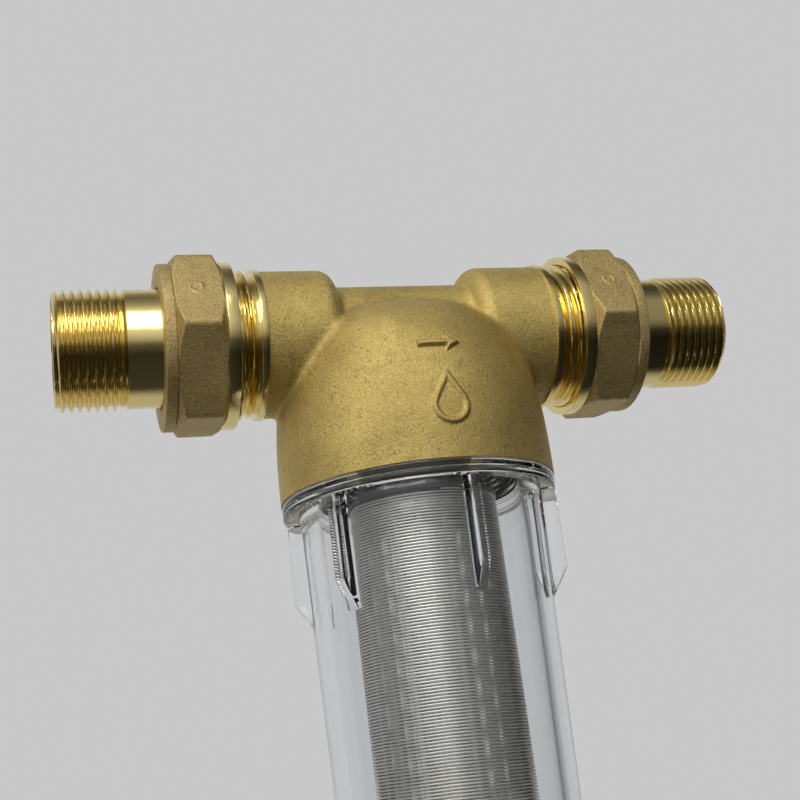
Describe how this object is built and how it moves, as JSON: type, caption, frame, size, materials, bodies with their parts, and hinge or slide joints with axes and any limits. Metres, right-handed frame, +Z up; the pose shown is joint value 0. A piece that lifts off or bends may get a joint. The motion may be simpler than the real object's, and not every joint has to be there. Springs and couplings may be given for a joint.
{
  "type": "magnetic system filter",
  "caption": "In-line brass water filter with union tails, a clear screw-on bowl, a wound wire screen round a magnet core, and a ball valve at the bottom to flush it.",
  "frame": {"origin": "where the axis of the pipe crosses the axis of the bowl", "axes": "+X along the pipe in the direction of flow, +Z up, with the bowl hanging along -Z, -Y is the front that carries the flow arrow"},
  "size_m": [0.1528, 0.0607, 0.2339],
  "materials": {
    "cast_brass": "sand-cast, shot-blasted, matt",
    "forged_brass": "pressed hexagon, slightly dull, turned ends",
    "machined_brass": "turned, bright",
    "black_rubber": "smooth",
    "clear_plastic": "clear moulded, glossy",
    "screen_steel": "wound stainless wire",
    "magnet": "nickel plated",
    "pole_steel": "soft steel",
    "white_seat": "smooth fluoropolymer",
    "plated_ball": "polished",
    "red_lever": "moulded",
    "screw_steel": "zinc plated"
  },
  "bodies": {
    "head": {"head_casting": "cast_brass"},
    "inlet_union": {"inlet_tail": "machined_brass", "inlet_gasket": "black_rubber"},
    "inlet_nut": {"inlet_union_nut": "forged_brass"},
    "outlet_union": {"outlet_tail": "machined_brass", "outlet_gasket": "black_rubber"},
    "outlet_nut": {"outlet_union_nut": "forged_brass"},
    "cartridge": {"screen_wire": "screen_steel", "screen_rods": "screen_steel", "screen_top_cap": "screen_steel", "screen_bottom_cap": "screen_steel", "screen_top_oring": "black_rubber", "magnet_sheath": "screen_steel", "magnets": "magnet", "pole_spacers": "pole_steel", "magnet_end_plug": "screen_steel", "magnet_spider": "screen_steel"},
    "bowl_unit": {"bowl": "clear_plastic", "bowl_oring": "black_rubber", "drain_body": "machined_brass", "drain_seal_ring": "black_rubber", "hose_tail": "machined_brass", "ball_seat_upper": "white_seat", "ball_seat_lower": "white_seat"},
    "drain_lever": {"drain_ball": "plated_ball", "drain_stem": "machined_brass", "stem_oring": "black_rubber", "drain_handle": "red_lever", "handle_screw": "screw_steel"}
  },
  "joints": [
    {"name": "inlet_union_slide", "type": "slide", "parent": "head", "child": "inlet_union", "axis": [-1, 0, 0], "range_m": [0, 0.00924]},
    {"name": "inlet_nut_turn", "type": "hinge", "parent": "inlet_union", "child": "inlet_nut", "pos_m": [-0.0463, 0, 0], "axis": [-1, 0, 0], "range_deg": [0, 1442]},
    {"name": "outlet_union_slide", "type": "slide", "parent": "head", "child": "outlet_union", "axis": [1, 0, 0], "range_m": [0, 0.00924]},
    {"name": "outlet_nut_turn", "type": "hinge", "parent": "outlet_union", "child": "outlet_nut", "pos_m": [0.0463, 0, 0], "axis": [1, 0, 0], "range_deg": [0, 1442]},
    {"name": "cartridge_slide", "type": "slide", "parent": "head", "child": "cartridge", "axis": [0, 0, -1], "range_m": [0, 0.009]},
    {"name": "bowl_turn", "type": "hinge", "parent": "cartridge", "child": "bowl_unit", "pos_m": [0, 0, -0.039], "axis": [0, 0, -1], "range_deg": [0, 1082]},
    {"name": "drain_lever_turn", "type": "hinge", "parent": "bowl_unit", "child": "drain_lever", "pos_m": [0, 0, -0.184], "axis": [0, 1, 0], "range_deg": [0, 90]}
  ],
  "couplings": [
    {"joint": "inlet_nut_turn", "follows": "inlet_union_slide", "rad_per_m": 2721.2},
    {"joint": "outlet_nut_turn", "follows": "outlet_union_slide", "rad_per_m": 2721.2},
    {"joint": "bowl_turn", "follows": "cartridge_slide", "rad_per_m": 2094.4}
  ]
}
